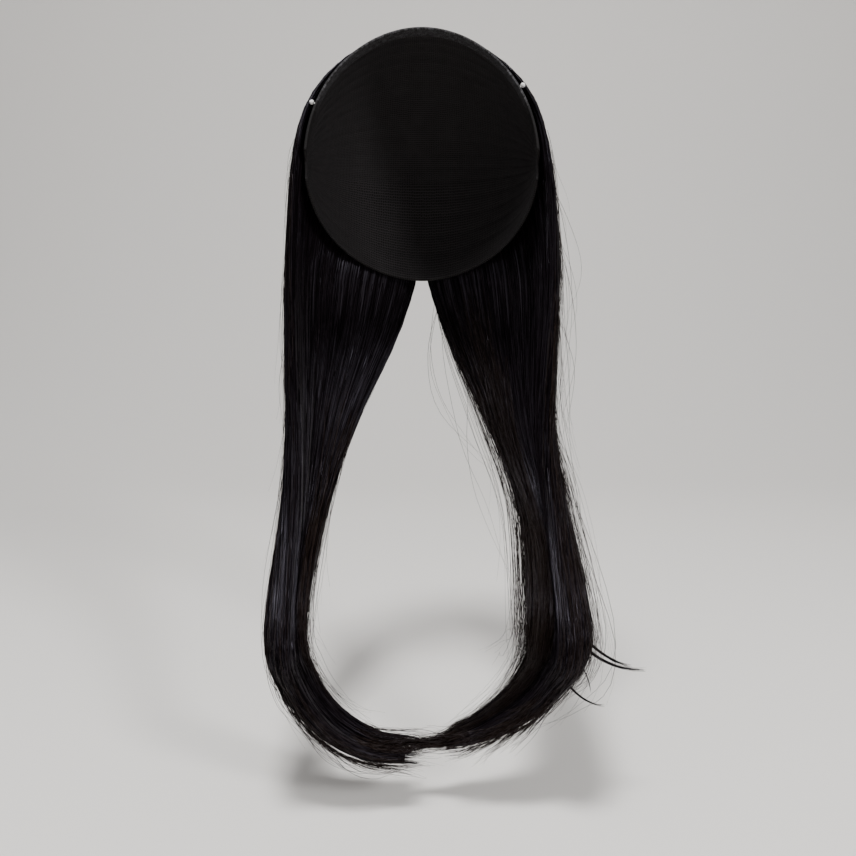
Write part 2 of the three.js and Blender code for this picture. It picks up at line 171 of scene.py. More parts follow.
CLUMP_TIP = (0.1, 0.5)  # the share of that spread that is left at its tip
CLUMP_REACH = (0.945, 1.025)
CLUMP_RAGGED = 0.035  # how much less far its shortest strands reach

# Where the strands start: from the roots on, or below the cap on the side that faces the head.
HEAD_SIDE = {"middle": 0.75, "half": 0.2}
BELOW_CAP = (0.26, 0.32)
ROOT_START = 0.24

# Single hairs that stand off the hair. Each set has a count, the hairs in a clump, and ranges: the share
# round the section, the share along the hair where they leave it, how far they run along it, and how many
# millimetres they stand off. "free" is the share of them that doesn't come back.
LOOSE_POINTS = 18
LOOSE_RADIUS = 0.17 * MM
LOOSE_SIZES = (0.6, 1.2)
LEFT_LOOSE = (
    {"count": 130, "clump": 1, "free": 0.6, "off": (0, 9),
     "round": (0, 0.3), "leave": (0.12, 0.75), "run": (0.08, 0.25)},
    {"count": 90, "clump": 1, "free": 0.5, "off": (0, 12),
     "round": (0, 0.2), "leave": (0.7, 0.86), "run": (0.12, 0.2)},
    {"count": 60, "clump": 3, "free": 0.5, "off": (1, 12),
     "round": (0.46, 0.7), "leave": (0.44, 0.6), "run": (0.12, 0.3)},
    {"count": 30, "clump": 2, "free": 0.8, "off": (6, 34),
     "round": (0.46, 0.7), "leave": (0.5, 0.66), "run": (0.1, 0.3)},
    {"count": 170, "clump": 5, "free": 0.9, "off": (-1, 9),
     "round": (0, 1), "leave": (0.88, 0.95), "run": (0.07, 0.12)},
)
RIGHT_LOOSE = (
    {"count": 240, "clump": 1, "free": 0.6, "off": (0, 8),
     "round": (0, 0.3), "leave": (0.2, 0.72), "run": (0.06, 0.22)},
    {"count": 110, "clump": 2, "free": 0.5, "off": (4, 32),
     "round": (0.1, 0.3), "leave": (0.2, 0.6), "run": (0.12, 0.32)},
    {"count": 150, "clump": 5, "free": 0.1, "off": (0, 20),
     "round": (0.44, 0.68), "leave": (0.36, 0.48), "run": (0.34, 0.52)},
    {"count": 70, "clump": 2, "free": 0.2, "off": (-1, 7),
     "round": (0.44, 0.68), "leave": (0.36, 0.5), "run": (0.2, 0.5)},
    {"count": 130, "clump": 1, "free": 0, "off": (-2, 9),
     "round": (0.48, 0.7), "leave": (0.54, 0.68), "run": (0.14, 0.3)},
    {"count": 50, "clump": 2, "free": 0.6, "off": (8, 40),
     "round": (0.44, 0.68), "leave": (0.38, 0.56), "run": (0.14, 0.34)},
    {"count": 200, "clump": 10, "free": 1, "off": (4, 15),
     "round": (0, 0.2), "leave": (0.76, 0.88), "run": (0.05, 0.1)},
    {"count": 170, "clump": 5, "free": 0.9, "off": (-1, 9),
     "round": (0, 1), "leave": (0.88, 0.95), "run": (0.07, 0.13)},
)

# How single hairs thin, spread and leave. WOBBLE is how far they swing from their path: at least, and as a
# share of their height off the hair, in slow waves and in fast ones, which are finer.
LOOSE_THINNING = {"after": 0.25, "tip": 0.3}  # of a hair's length, and of its radius
LOOSE_SPREAD = 0.06  # of a clump, as a share of its set's ranges
LOOSE_SWAY = {"size": 0.02, "pace": 4}  # round the section, as a hair runs along
LOOSE_LEAST = 0.3  # of its height that a hair stands off at least
LOOSE_RISE = 1.5  # how late a free hair leaves, as a power
LOOSE_SUNK = 0.2 * MM  # its root under the body's surface
WOBBLE = {"least": 0.3 * MM, "share": 0.08, "slow": 5, "fast": 13, "fine": 0.5}

# The slender bundles that leave the right half and flick outwards: the share along the hair where each
# one leaves it, then, out and down from there in half widths of the head, its end and the point that bends
# it towards that end.
FLICKS = (
    {"along": 0.657, "end": (0.53, 0.42), "bend": (0.22, 0.35), "thick": 3.2 * MM, "hairs": 100},
    {"along": 0.667, "end": (0.63, 0.34), "bend": (0.24, 0.35), "thick": 3.2 * MM, "hairs": 100},
    {"along": 0.735, "end": (0.39, 0.3), "bend": (0.19, 0.31), "thick": 2.4 * MM, "hairs": 50},
    {"along": 0.695, "end": (0.19, 0.33), "bend": (0.16, 0.12), "thick": 2.4 * MM, "hairs": 50},
)
FLICK_TAPER = 0.85  # how much of its thickness a bundle loses at its tip
FLICK_THINNING = {"after": 0.1, "tip": 0.25}
FLICK_RADIUS = 1.2 * LOOSE_RADIUS
FLICK_SIZES = (0.7, 1.2)
FLICK_LENGTHS = (0.6, 1)
FLICK_BREADTH = 0.3  # of a bundle from side to side, as a share of its thickness
FLICK_STRAY = 0.7 * MM  # how far its hairs' tips stray up and down
TUBE_SIDES = 3  # of every hair

# The pins. Their heights are shares of the way up from the head's widest level to the crown. The collar's
# foot and top lie some head radii under the head's middle. "flare" is its top's radius, in shaft widths.
LEFT_PIN_HEIGHT = 0.45
RIGHT_PIN_HEIGHT = 0.57
PIN_HEAD = 3.4 * MM
PIN_SHAFT = 1 * MM
PIN_SUNK = 0.4 * MM
PIN_STAND = 2.6 * MM
PIN_SIDES = 28
PIN_ROWS = 17
PIN_HEAD_START = -0.82  # of a quarter turn from the ball's middle
PIN_COLLAR = {"foot": 1.5, "top": 1.1, "flare": 0.75}
PIN_TIP = 0.02  # the radius of the head's flat top, in head radii

# The hair's look. A texture's scale counts its cells in a metre, and a stretch is its scale along the hair
# as a share of that across it. "at" is where its values start and end the colours or the shine.
HAIR = {"dark": (0.0016, 0.001, 0.0014), "light": (0.009, 0.006, 0.0075), "roughness": 0.32}
# The single hairs are lighter and browner than the rest: painted light shining through them at the hair's
# edges.
RIM_LIT_LOOSE_HAIR = {"dark": (0.006, 0.0035, 0.0025), "light": (0.02, 0.012, 0.008), "roughness": 0.4}
HAIR_TINT = (0.86, 0.82, 1, 1)
HAIR_STREAKS = {"scale": 900, "stretch": 0.02, "detail": 3, "at": (0.35, 0.72)}
HAIR_SHINE = {"low": 0.03, "high": 0.43, "at": (0.44, 0.7)}
HAIR_GLOSS = (0.12, -0.06)  # how much rougher and smoother its streaks get
HAIR_GROOVES = {"scale": 2600, "stretch": 0.012, "detail": 2}
HAIR_BUMP = {"strength": 0.35, "distance": 0.25 * MM}

# The looks of the cap, the band and the pins. A ramp has its positions and their colours.
CLOTH_ROUGHNESS = 0.8
CLOTH_BUMP = {"strength": 0.5, "distance": 0.3 * MM}
NET_COLOR = (0.016, 0.014, 0.014)
NET_RAMP = ((0.05, (0.026, 0.023, 0.024)), (0.2, (0.004, 0.0035, 0.0035)))
NET_SHINE = 0.15
NET_SCALE = 620
NET_RANDOM = 0.35
NET_WEAR = {"scale": 60, "rough": (0.65, 0.95)}
BAND_COLOR = (0.012, 0.01, 0.011)
BAND_RAMP = ((0.16, (0.006, 0.005, 0.005)), (0.5, (0.055, 0.053, 0.057)))
BAND_SHINE = 0.2
STITCH_SCALE = 900
STITCH_RANGE = (1, 0.1)  # how light the knit is at the middle of a stitch and far from it
KNIT_CLOUD_SCALE = 330
CLOTH_DETAIL = 2
PEARL_COLOR = (0.7, 0.68, 0.66)
PEARL_RAMP = ((0.3, (0.4, 0.4, 0.46)), (0.62, (0.86, 0.83, 0.78)))
PEARL_CLOUDS = {"scale": 700, "detail": 3, "rough": (0.38, 0.16)}
PEARL_ROUGHNESS = 0.25
PEARL_COAT = 0.7
PEARL_COAT_ROUGHNESS = 0.06

# The floor that curves up into a backdrop, from its front edge to the top of the wall.
FLOOR_LEVEL = -0.5
FLOOR_FRONT = -3.0
WALL_PLACE = 1.7
WALL_TOP = 3.0
CORNER_RADIUS = 0.9
CORNER_POINTS = 25
ROOM_REACH = 3.2
ROOM_COLOR = (0.8, 0.775, 0.74)
ROOM_ROUGHNESS = 0.9

# The lights and the camera, which stands where the photo was taken from.
LIGHTS = (
    {"name": "top", "place": (-0.15, -0.4, 1.3), "target": (0, -0.05, -0.2), "size": 0.35, "watts": 34},
    {"name": "key", "place": (1.3, -1.3, 0.9), "target": (0, 0, -0.2), "size": 0.4, "watts": 26},
    {"name": "fill", "place": (-1.5, -0.9, 0.3), "target": (0, 0, -0.2), "size": 0.8, "watts": 1.5},
)
SKY_COLOR = (0.95, 0.96, 1.0, 1)
SKY_STRENGTH = 0.36
CAMERA_PLACE = (0.0042, -0.605, -0.171)
CAMERA_TILT = 80.6  # degrees from straight down
CAMERA_LENS = 36.17  # millimetres, as is the sensor's width
CAMERA_SENSOR = 36


# Vectors and head


def unit(vectors):
    return vectors / np.linalg.norm(vectors, axis=-1, keepdims=True)


def head_point(direction, level):
    """The points at a level over the head, in some directions from its middle."""
    rise = np.where(direction[..., 2] >= 0, CROWN_RISE, NAPE_CURVE)
    x = direction[..., 0] * (HALF_WIDTH + level)
    y = direction[..., 1] * (HALF_LENGTH + level)
    z = direction[..., 2] * (rise + level) - CROWN_RISE
    return np.stack((x, y, z), axis=-1)


def turned_to_temple(x, y, z):
    turn = -TEMPLE_TURN * DEGREE * x * np.abs(x)
    turned_x = x * np.cos(turn) - y * np.sin(turn)
    turned_y = x * np.sin(turn) + y * np.cos(turn)
    return np.stack((turned_x, turned_y, z), axis=-1)


def ear_direction(across, around):
    """A direction by its angle across the head and its angle round from the crown over the back."""
    flat = np.cos(across * DEGREE)
    y, z = flat * np.sin(around * DEGREE), flat * np.cos(around * DEGREE)
    return turned_to_temple(np.sin(across * DEGREE), y, z)


def band_angle(across, width):
    return width / ((HALF_LENGTH + CROWN_RISE) / 2 * np.cos(across * DEGREE)) / DEGREE


def seam(across):
    """The angles round the head of the band's back edge and the cap's front edge."""
    band = np.minimum(FRONT_LEAN + band_angle(across, BAND_WIDTH), BAND_LIMIT * NAPE_LEAN)
    return band, band + band_angle(across, GAP)


def lock_direction(turn, down):
    """A direction by its turn from the back towards an ear and its angle down from where the hair starts."""
    pole = (FRONT_LEAN + band_angle(0, BAND_WIDTH)) * DEGREE
    x = np.sin(down * DEGREE) * np.sin(turn * DEGREE)
    y = np.sin(down * DEGREE) * np.cos(turn * DEGREE)
    z = np.cos(down * DEGREE)
    tilted_y = y * math.cos(pole) + z * math.sin(pole)
    tilted_z = z * math.cos(pole) - y * math.sin(pole)
    return turned_to_temple(x, tilted_y, tilted_z)


# The hair's form


def spline(values, at):
    """A smooth curve through evenly spaced rows of values, at a place counted in rows, for each column."""
    padded = np.concatenate((2 * values[:1] - values[1:2], values, 2 * values[-1:] - values[-2:-1]))
    row = np.clip(np.floor(at).astype(int), 0, len(values) - 2)
    column = np.arange(len(at))
    t = (at - row)[:, None]
    before, a, b, after = (padded[row + step, column] for step in range(4))
    slope_a, slope_b = (b - before) / 2, (after - a) / 2
    square = 3 * (b - a) - 2 * slope_a - slope_b
    cube = 2 * (a - b) + slope_a + slope_b
    return a + t * (slope_a + t * (square + t * cube))


def bend(row, place):
    """A place on a row's bent middle line, as its shares out and towards the face."""
    weights = {"front": (1 - place) ** 2, "middle": 2 * place * (1 - place), "back": place**2}
    return [sum(weight * row[key][axis] for key, weight in weights.items()) for axis in (0, 1)]


class Sheet:
    """One half of the hair as a bent sheet, by place from the face side to the parting and share along it."""

    def __init__(self, side, side_thick, fall, curl, tips):
        self.side, self.fall, self.curl, self.tips = side, fall, curl, tips
        steps = [math.sin(down * DEGREE) ** THICKENING for down in ROOT_ANGLES]
        self.roots = [ROOT_THICK + (side_thick - ROOT_THICK) * step for step in steps]
        falls = [row["thick"] * HALF_WIDTH for row in fall]
        curls = [falls[-1] * self.kept(step / CURL_ROWS) for step in range(1, CURL_ROWS + 1)]
        self.thick_rows = np.array(self.roots + falls + curls)
        self.spaces = len(self.thick_rows) - 1

    def kept(self, share):
        """The share of its breadth that the hair keeps at a share of the curl."""
        return 1 - (1 - self.curl["narrow"]) * share**NARROWING

    def root_points(self, place, down, thick):
        return head_point(lock_direction(self.side * 90 * (1 - place), down), SEAT + thick / 2)

    def fall_points(self, place, row):
        out, fore = bend(row, place)
        level = np.full_like(place, -CROWN_RISE - row["drop"] * FALL_LENGTH)
        return np.stack((self.side * out * HALF_WIDTH, -fore * HALF_LENGTH, level), axis=-1)

    def curl_points(self, place, share):
        last = self.fall[-1]
        out, fore = bend(last, place)
        middle_out, middle_fore = bend(last, 0.5)
        middle_out = (middle_out + (last["front"][0] + last["back"][0]) / 2) / 2
        kept = self.kept(share)
        angle = self.curl["turn"] * share * DEGREE
        reach = (middle_out + (out - middle_out) * kept - self.curl["axis"]) * HALF_WIDTH
        x = self.side * (self.curl["axis"] * HALF_WIDTH + reach * math.cos(angle))
        y = -(middle_fore + (fore - middle_fore) * kept) * HALF_LENGTH
        z = -CROWN_RISE - last["drop"] * FALL_LENGTH - reach * self.curl["depth"] * math.sin(angle)
        return np.stack((x, y, z), axis=-1)

    def row_points(self, place):
        rows = [self.root_points(place, down, thick) for down, thick in zip(ROOT_ANGLES, self.roots)]
        rows += [self.fall_points(place, row) for row in self.fall]
        rows += [self.curl_points(place, step / CURL_ROWS) for step in range(1, CURL_ROWS + 1)]
        return np.array(rows)

    def thick(self, along):
        return np.interp(along * self.spaces, np.arange(self.spaces + 1), self.thick_rows)

    def points(self, place, along):
        """Points of the middle line, which runs straight on past the hair's end."""
        place, along = np.broadcast_arrays(place, along)
        rows = self.row_points(place.ravel())
        found = spline(rows, np.minimum(along, 1).ravel() * self.spaces)
        beyond = np.maximum(along.ravel() - 1, 0) * self.spaces
        return (found + beyond[:, None] * (rows[-1] - rows[-2])).reshape(*place.shape, 3)

    def frame(self, place, along):
        """The directions across the sheet and out of it, and the sheet's breadth."""
        across = self.points(place + SLOPE_STEP, along) - self.points(place - SLOPE_STEP, along)
        behind = self.points(place, np.maximum(along - SLOPE_STEP, 0))
        ahead = unit(self.points(place, along + SLOPE_STEP) - behind)
        out = unit(np.cross(ahead, across)) * self.side
        breadth = np.linalg.norm(across, axis=-1) / (2 * SLOPE_STEP)
        return np.cross(out, ahead) * self.side, out, breadth


# Meshes


def grid_faces(rows, columns, first=0, flip=False):
    """The quads of a grid of points, row by row."""
    corner = first + np.arange(rows - 1)[:, None] * columns + np.arange(columns - 1)[None, :]
    quads = np.stack((corner, corner + 1, corner + columns + 1, corner + columns), axis=-1).reshape(-1, 4)
    return quads[:, ::-1] if flip else quads


def volume_of(vertices, faces):
    """Six times the volume that the faces enclose."""
    total = 0.0
    for polygons in faces:
        for corner in range(1, polygons.shape[1] - 1):
            a, b, c = (vertices[polygons[:, i]] for i in (0, corner, corner + 1))
            total += float(np.einsum("ij,ij->", a, np.cross(b, c)))
    return total


def new_mesh(name, vertices, faces):
    mesh = bpy.data.meshes.new(name)
    loops = np.concatenate([polygons.ravel() for polygons in faces])
    sizes = np.concatenate([np.full(len(polygons), polygons.shape[1]) for polygons in faces])
    mesh.vertices.add(len(vertices))
    mesh.vertices.foreach_set("co", vertices.astype(np.float32).ravel())
    mesh.loops.add(len(loops))
    mesh.loops.foreach_set("vertex_index", loops.astype(np.int32))
    mesh.polygons.add(len(sizes))
    mesh.polygons.foreach_set("loop_start", (np.cumsum(sizes) - sizes).astype(np.int32))
    mesh.polygons.foreach_set("use_smooth", np.ones(len(sizes), bool))
    mesh.update(calc_edges=True)
    return mesh


def make_piece(name, vertices, faces, material, slot, replaced=(), weave=None):
    """A closed mesh that rides on the wig, with its faces turned out and each point's place on its cloth."""
    if volume_of(vertices, faces) < 0:
        faces = [polygons[:, ::-1] for polygons in faces]
    mesh = new_mesh(name, vertices, faces)
    if weave is not None:
        attribute = mesh.attributes.new("weave", "FLOAT_VECTOR", "POINT")
        attribute.data.foreach_set("vector", weave.astype(np.float32).ravel())
    mesh.materials.append(material)
    piece = bpy.data.objects.new(name, mesh)
    bpy.context.scene.collection.objects.link(piece)
    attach(piece, "root")
    if replaced:
        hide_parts(*replaced)
    return piece


def wall_mesh(outer, inner):
    """A closed wall between two grids of points."""
    rows, columns = outer.shape[:2]
    count = rows * columns
    vertices = np.concatenate((outer.reshape(-1, 3), inner.reshape(-1, 3)))
    index = np.arange(count).reshape(rows, columns)
    faces = [grid_faces(rows, columns), grid_faces(rows, columns, count, flip=True)]
    for edge in (index[0], index[-1][::-1], index[::-1, 0], index[:, -1]):
        a, b = edge[:-1], edge[1:]
        faces.append(np.stack((b, a, a + count, b + count), axis=-1))
    return vertices, faces


def tube_points(centres, radii, reference):
    """The points round many strands, in rings of TUBE_SIDES."""
    ahead = unit(np.gradient(centres, axis=1))
    side = unit(np.cross(ahead, reference))
    over = np.cross(side, ahead)
    angles = np.arange(TUBE_SIDES) * 2 * math.pi / TUBE_SIDES
    ring = np.cos(angles)[:, None] * side[:, :, None] + np.sin(angles)[:, None] * over[:, :, None]
    return (centres[:, :, None] + ring * radii[:, :, None, None]).reshape(-1, 3)


def tube_mesh(centres, radii, reference):
    """Closed tubes along many strands of as many points each."""
    count, points = centres.shape[:2]
    base = (np.arange(count) * points * TUBE_SIDES)[:, None, None]
    row = (np.arange(points - 1) * TUBE_SIDES)[None, :, None]
    corner = np.arange(TUBE_SIDES)[None, None, :]
    a = base + row + corner
    b = base + row + (corner + 1) % TUBE_SIDES
    quads = np.stack((a, b, b + TUBE_SIDES, a + TUBE_SIDES), axis=-1).reshape(-1, 4)
    first = base[:, :, 0] + np.arange(TUBE_SIDES)[::-1]
    last = base[:, :, 0] + (points - 1) * TUBE_SIDES + np.arange(TUBE_SIDES)
    return tube_points(centres, radii, reference), [quads, first, last]


# Materials


def new_material(name, color, roughness):
    material = bpy.data.materials.new(name)
    material.use_nodes = True
    shader = material.node_tree.nodes["Principled BSDF"]
    shader.inputs["Base Color"].default_value = (*color, 1)
    shader.inputs["Roughness"].default_value = roughness
    return material, shader


def add_node(tree, kind, **inputs):
    """A node with values on its input sockets, whose names have _ for a space."""
    node = tree.nodes.new(kind)
    for name, value in inputs.items():
        node.inputs[name.replace("_", " ")].default_value = value
    return node


def add_ramp(tree, source, stops):
    """A colour ramp over a value, from stops of (position, colour)."""
    ramp = tree.nodes.new("ShaderNodeValToRGB")
    for element, (position, color) in zip(ramp.color_ramp.elements, stops):
        element.position = position
        element.color = (*color, 1)
    tree.links.new(source, ramp.inputs["Fac"])
    return ramp.outputs["Color"]


def add_range(tree, source, low, high, start=0, end=1):
    """A value from start to end stretched over another range."""
    node = add_node(tree, "ShaderNodeMapRange", From_Min=start, From_Max=end, To_Min=low, To_Max=high)
    tree.links.new(source, node.inputs["Value"])
    return node.outputs["Result"]


def add_product(tree, one, other):
    node = tree.nodes.new("ShaderNodeMath")
    node.operation = "MULTIPLY"
    tree.links.new(one, node.inputs[0])
    tree.links.new(other, node.inputs[1])
    return node.outputs["Value"]


def add_weave(tree, scale=(1, 1, 1)):
    """Each point's place on its cloth or hair, in metres."""
    weave = tree.nodes.new("ShaderNodeAttribute")
    weave.attribute_name = "weave"
    stretch = add_node(tree, "ShaderNodeMapping", Scale=scale)
    tree.links.new(weave.outputs["Vector"], stretch.inputs["Vector"])
    return stretch.outputs["Vector"]


def add_noise(tree, vector, dimensions="2D", **inputs):
    noise = add_node(tree, "ShaderNodeTexNoise", **inputs)
    noise.noise_dimensions = dimensions
    tree.links.new(vector, noise.inputs["Vector"])
    return noise.outputs["Fac"]


def add_cells(tree, vector, feature="F1", **inputs):
    """The distance of flat cells, to their points or, by the feature, to their edges."""
    cells = add_node(tree, "ShaderNodeTexVoronoi", **inputs)
    cells.voronoi_dimensions = "2D"
    cells.feature = feature
    tree.links.new(vector, cells.inputs["Vector"])
    return cells.outputs["Distance"]


def add_bump(tree, shader, height, strength, distance, invert=False):
    bump = add_node(tree, "ShaderNodeBump", Strength=strength, Distance=distance)
    bump.invert = invert
    tree.links.new(height, bump.inputs["Height"])
    tree.links.new(bump.outputs["Normal"], shader.inputs["Normal"])


def add_hair_noise(tree, look):
    """Noise that is drawn out along the hair."""
    weave = add_weave(tree, (1, look["stretch"], 1))
    return add_noise(tree, weave, Scale=look["scale"], Detail=look["detail"])


def hair_material(name, look):
    """Near-black hair: its colour and gloss drift from strand to strand, with fine grooves along it."""
    material, shader = new_material(name, look["dark"], look["roughness"])
    shader.inputs["Specular Tint"].default_value = HAIR_TINT
    tree = material.node_tree
    streaks = add_hair_noise(tree, HAIR_STREAKS)
    stops = zip(HAIR_STREAKS["at"], (look["dark"], look["light"]))
    tree.links.new(add_ramp(tree, streaks, stops), shader.inputs["Base Color"])
    shine = add_range(tree, streaks, HAIR_SHINE["low"], HAIR_SHINE["high"], *HAIR_SHINE["at"])
    tree.links.new(shine, shader.inputs["Specular IOR Level"])
    gloss = add_range(tree, streaks, *(look["roughness"] + more for more in HAIR_GLOSS))
    tree.links.new(gloss, shader.inputs["Roughness"])
    add_bump(tree, shader, add_hair_noise(tree, HAIR_GROOVES), **HAIR_BUMP)
    return material


def net_material():
    """Dark stretch net: fine threads round small holes."""
    material, shader = new_material("cap_net", NET_COLOR, CLOTH_ROUGHNESS)
    shader.inputs["Specular IOR Level"].default_value = NET_SHINE
    tree = material.node_tree
    edges = {"feature": "DISTANCE_TO_EDGE", "Scale": NET_SCALE, "Randomness": NET_RANDOM}
    distance = add_cells(tree, add_weave(tree), **edges)
    tree.links.new(add_ramp(tree, distance, NET_RAMP), shader.inputs["Base Color"])
    wear = add_noise(tree, add_weave(tree), Scale=NET_WEAR["scale"], Detail=CLOTH_DETAIL)
    tree.links.new(add_range(tree, wear, *NET_WEAR["rough"]), shader.inputs["Roughness"])
    add_bump(tree, shader, distance, invert=True, **CLOTH_BUMP)
    return material


def band_material():
    """A dark knit that is flecked with grey, with painted shade that dims the flecks towards the ears."""
    material, shader = new_material("band_knit", BAND_COLOR, CLOTH_ROUGHNESS)
    shader.inputs["Specular IOR Level"].default_value = BAND_SHINE
    tree = material.node_tree
    stitches = add_cells(tree, add_weave(tree), Scale=STITCH_SCALE)
    clouds = add_noise(tree, add_weave(tree), Scale=KNIT_CLOUD_SCALE, Detail=CLOTH_DETAIL)
    parts = tree.nodes.new("ShaderNodeSeparateXYZ")
    tree.links.new(add_weave(tree), parts.inputs["Vector"])
    open_knit = add_range(tree, stitches, *STITCH_RANGE)
    # The weave's third value is painted shade: it dims the flecks towards the ears, where less overhead light
    # falls.
    amount = add_product(tree, add_product(tree, clouds, open_knit), parts.outputs["Z"])
    tree.links.new(add_ramp(tree, amount, BAND_RAMP), shader.inputs["Base Color"])
    add_bump(tree, shader, stitches, invert=True, **CLOTH_BUMP)
    return material


def pearl_material():
    """Pearly plastic: faint warm and cool clouds under a clear gloss."""
    material, shader = new_material("pearl", PEARL_COLOR, PEARL_ROUGHNESS)
    shader.inputs["Coat Weight"].default_value = PEARL_COAT
    shader.inputs["Coat Roughness"].default_value = PEARL_COAT_ROUGHNESS
    tree = material.node_tree
    place = tree.nodes.new("ShaderNodeTexCoord").outputs["Object"]
    clouds = add_noise(tree, place, "3D", Scale=PEARL_CLOUDS["scale"], Detail=PEARL_CLOUDS["detail"])
    tree.links.new(add_ramp(tree, clouds, PEARL_RAMP), shader.inputs["Base Color"])
    tree.links.new(add_range(tree, clouds, *PEARL_CLOUDS["rough"]), shader.inputs["Roughness"])
    return material


# Hair


def section(share):
    """The place across the sheet and the level, in half thicknesses, at a share round the section."""
    turn = np.linspace(0, 2 * math.pi, SECTION_POINTS)
    place = 0.5 - 0.5 * np.sign(np.cos(turn)) * np.abs(np.cos(turn)) ** (2 / SECTION_POWER)
    level = np.sin(turn)
    steps = np.hypot(np.diff(place) * SECTION_FLATNESS, np.diff(level) / 2)
    length = np.concatenate(((0,), np.cumsum(steps)))
    at = share % 1 * length[-1]
    return np.interp(at, length, place), np.interp(at, length, level)


def section_normal(place, level, breadth, thick):
    """The parts across the sheet and out of it of the direction out of the section."""
    from_middle = 2 * place - 1
    slope = SECTION_POWER / 2 * np.abs(from_middle) ** (SECTION_POWER - 1)
    across = slope * np.sign(from_middle) / breadth
    out = level / thick
    size = np.hypot(across, out)
    return across / size, out / size


def clear_of_parting(points, side, room):
    """The points kept on their own side of the parting at the back."""
    out = side * points[..., 0]
    limited = side * np.maximum(out, PARTING / 2 + room)
    points[..., 0] = np.where(points[..., 1] > 0, limited, points[..., 0])
    return points


def clear_of_head(points, room):
    """The points moved out of the space that the head, the cap and the band take."""
    middle = np.array((0, 0, -CROWN_RISE))
    rise = np.where(points[..., 2] > -CROWN_RISE, CROWN_RISE, NAPE_CURVE)
    level = BAND_THICK + room
    half = (np.full_like(rise, HALF_WIDTH), np.full_like(rise, HALF_LENGTH), rise)
    size = np.stack(half, axis=-1) + level
    depth = np.linalg.norm((points - middle) / size, axis=-1, keepdims=True)
    return middle + (points - middle) / np.minimum(depth, 1)


def on_hair(sheet, share, along, height, room=0):
    """Points at a share round the hair and one along it, at a height over its body, and the way out there."""
    share, along, height = np.broadcast_arrays(share, along, height)
    place, level = section(share)
    across, out, breadth = sheet.frame(place, along)
    taper = np.clip((1 - along) / TIP_RUN, sheet.tips["thick"], 1)
    thick = sheet.thick(np.minimum(along, 1)) * taper
    over_across, over_out = section_normal(place, level, breadth * taper, thick)
    place = 0.5 + (place - 0.5) * taper
    normal = across * over_across[..., None] + out * over_out[..., None]
    surface = sheet.points(place, along) + out * (level * thick / 2)[..., None]
    points = surface + normal * height[..., None]
    points[..., 2] -= sheet.tips["droop"] * np.maximum(along - DROOP_START, 0) / (1 - DROOP_START)
    return clear_of_head(clear_of_parting(points, sheet.side, room), room), normal


def ridge_height(ridge, heights, phase, share, along):
    """The height of one layer of ridges, which wander sideways as they run along the hair."""
    slow, slower = DRIFT_WAVES
    wander = np.sin(slow * along + phase[0] + 4 * math.pi * share) * np.sin(slower * along + phase[1])
    at = (share + ridge["drift"] * wander) % 1 * ridge["count"]
    low = at.astype(int)
    mix = (at - low) ** 2 * (3 - 2 * (at - low))
    a, b = heights[low % ridge["count"]], heights[(low + 1) % ridge["count"]]
    return ridge["height"] * (a + mix * (b - a))


def make_relief(rng):
    """A function for the height of the ridges that run along the hair, from wide locks to fine lines."""
    layers = []
    for ridge in RIDGES:
        heights = rng.uniform(-1, 1, ridge["count"])
        layers.append((ridge, heights, rng.uniform(0, 2 * math.pi, 2)))

    def relief(share, along):
        in_curl = np.clip((along - CURL_GAIN["start"]) / (CURL_GAIN["full"] - CURL_GAIN["start"]), 0, 1)
        locks = 1 + CURL_GAIN["locks"] * in_curl
        total = np.zeros(np.broadcast(share, along).shape)
        for ridge, heights, phase in layers:
            gain = locks if ridge is RIDGES[0] else 1
            total += ridge_height(ridge, heights, phase, share, along) * gain
        sink = BODY_SINK + CURL_GAIN["sink"] * in_curl
        return np.maximum(total - sink, -GROOVE_DEPTH) * np.clip(along / RELIEF_RUN, ROOT_RELIEF, 1)

    return relief


def hair_weave(share, along):
    """Each point's place on the hair's texture."""
    share, along = np.broadcast_arrays(share, along)
    return np.stack((share * HAIR_ROUND, along * HAIR_LONG, np.zeros_like(share)), axis=-1).reshape(-1, 3)


def make_body(name, sheet, material, replaced, relief, rng):
    """The combed body of one half, whose lower edge is ragged in tufts."""
    edge = np.linspace(BODY_EDGE, 0.5 - BODY_EDGE, BODY_COLUMNS + 1)
    step = np.linspace(0, 1, BODY_ROWS + 1)[None, :]
    ragged = np.zeros(len(edge))
    for tuft in TUFTS:
        stops = np.linspace(0, 0.5, tuft["count"])
        ragged += tuft["part"] * np.interp(edge, stops, rng.uniform(0, 1, tuft["count"]))
    along = step * (BODY_REACH - BODY_RAGGED * ragged)[:, None]
    sides, weaves = [], []
    for share in (edge[:, None], 1 - edge[:, None]):
        sides.append(on_hair(sheet, share, along, relief(share, along))[0])
        weaves.append(hair_weave(share, along))
    return make_piece(name, *wall_mesh(*sides), material, "hair", replaced, np.concatenate(weaves))


def make_tubes(name, centres, radii, normals, material, rng):
    """Hairs as one piece, each with a tone of its own."""
    tone = rng.uniform(0, 1, (len(centres), 1, 1))
    along = np.linspace(0, 1, centres.shape[1])[None, :, None]
    weave = hair_weave(tone, along + np.zeros((1, 1, TUBE_SIDES)))
    return make_piece(name, *tube_mesh(centres, radii, normals), material, "hair", weave=weave)


def strand_along(start, reach, step):
    """How far along the hair each strand's points lie, in places that its stops spread."""
    steps, stops = STRAND_STOPS
    first, last = (np.interp(end, stops, steps)[:, None] for end in (start, reach))
    past_end = np.maximum(reach - 1, 0)[:, None] * step
    return np.interp(first + (last - first) * step, steps, stops) + past_end


def strand_radii(step, count, rng):
    """Each strand's radius along it, thin at its root and at its tip."""
    root = STRAND_ROOT["thin"] + step / STRAND_ROOT["run"]
    tip = STRAND_TIP["thin"] + (1 - step) / STRAND_TIP["run"]
    swell = np.minimum(np.minimum(1, root), tip)
    return STRAND_RADIUS * swell * rng.uniform(*STRAND_SIZES, (count, 1))


